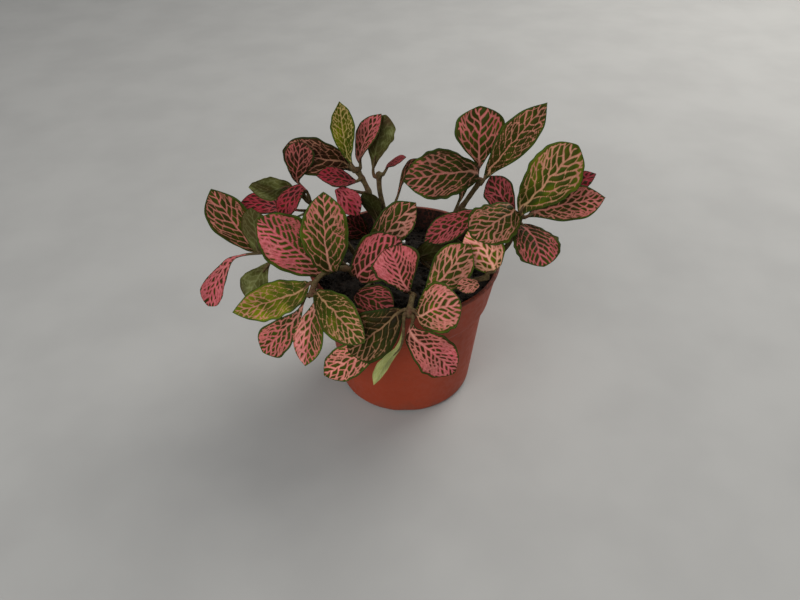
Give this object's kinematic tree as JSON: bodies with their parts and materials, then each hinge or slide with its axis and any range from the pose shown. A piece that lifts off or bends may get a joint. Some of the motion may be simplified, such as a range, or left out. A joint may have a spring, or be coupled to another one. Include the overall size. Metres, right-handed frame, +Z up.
{
  "type": "potted nerve plant",
  "caption": "Nerve plant with oval, pink-veined green leaves in pairs on low spreading stems, growing from soil in a tapered round plastic nursery pot with a collar.",
  "frame": {"origin": "middle of the pot's underside, on the table the pot stands on", "axes": "+Z up, +Y away from the viewer towards the back of the plant, +X to the viewer's right"},
  "size_m": [0.1883, 0.1093, 0.146],
  "materials": {
    "pot": "matte",
    "soil": "matte",
    "stem": "satin",
    "leaf": "satin"
  },
  "bodies": {
    "root": {"pot": "pot", "soil": "soil", "stem_back": "stem", "stem_back_left": "stem", "stem_front": "stem", "stem_front_left": "stem", "stem_left": "stem", "stem_left_back": "stem", "stem_right": "stem", "stem_right_back": "stem", "stem_right_front": "stem", "leaf_back_1": "leaf", "leaf_back_2": "leaf", "leaf_back_3": "leaf", "leaf_back_4": "leaf", "leaf_back_left_1": "leaf", "leaf_back_left_2": "leaf", "leaf_back_left_3": "leaf", "leaf_back_left_4": "leaf", "leaf_back_left_5": "leaf", "leaf_back_left_6": "leaf", "leaf_back_left_7": "leaf", "leaf_front_1": "leaf", "leaf_front_2": "leaf", "leaf_front_3": "leaf", "leaf_front_4": "leaf", "leaf_front_5": "leaf", "leaf_front_6": "leaf", "leaf_front_left_1": "leaf", "leaf_front_left_2": "leaf", "leaf_front_left_3": "leaf", "leaf_front_left_4": "leaf", "leaf_front_left_5": "leaf", "leaf_front_left_6": "leaf", "leaf_front_left_7": "leaf", "leaf_front_left_8": "leaf", "leaf_left_1": "leaf", "leaf_left_2": "leaf", "leaf_left_3": "leaf", "leaf_left_4": "leaf", "leaf_left_back_1": "leaf", "leaf_left_back_2": "leaf", "leaf_left_back_3": "leaf", "leaf_left_back_4": "leaf", "leaf_left_back_5": "leaf", "leaf_right_1": "leaf", "leaf_right_2": "leaf", "leaf_right_3": "leaf", "leaf_right_4": "leaf", "leaf_right_5": "leaf", "leaf_right_6": "leaf", "leaf_right_back_1": "leaf", "leaf_right_back_2": "leaf", "leaf_right_back_3": "leaf", "leaf_right_back_4": "leaf", "leaf_right_back_5": "leaf", "leaf_right_front_1": "leaf", "leaf_right_front_2": "leaf", "leaf_right_front_3": "leaf", "leaf_right_front_4": "leaf"}
  },
  "joints": []
}
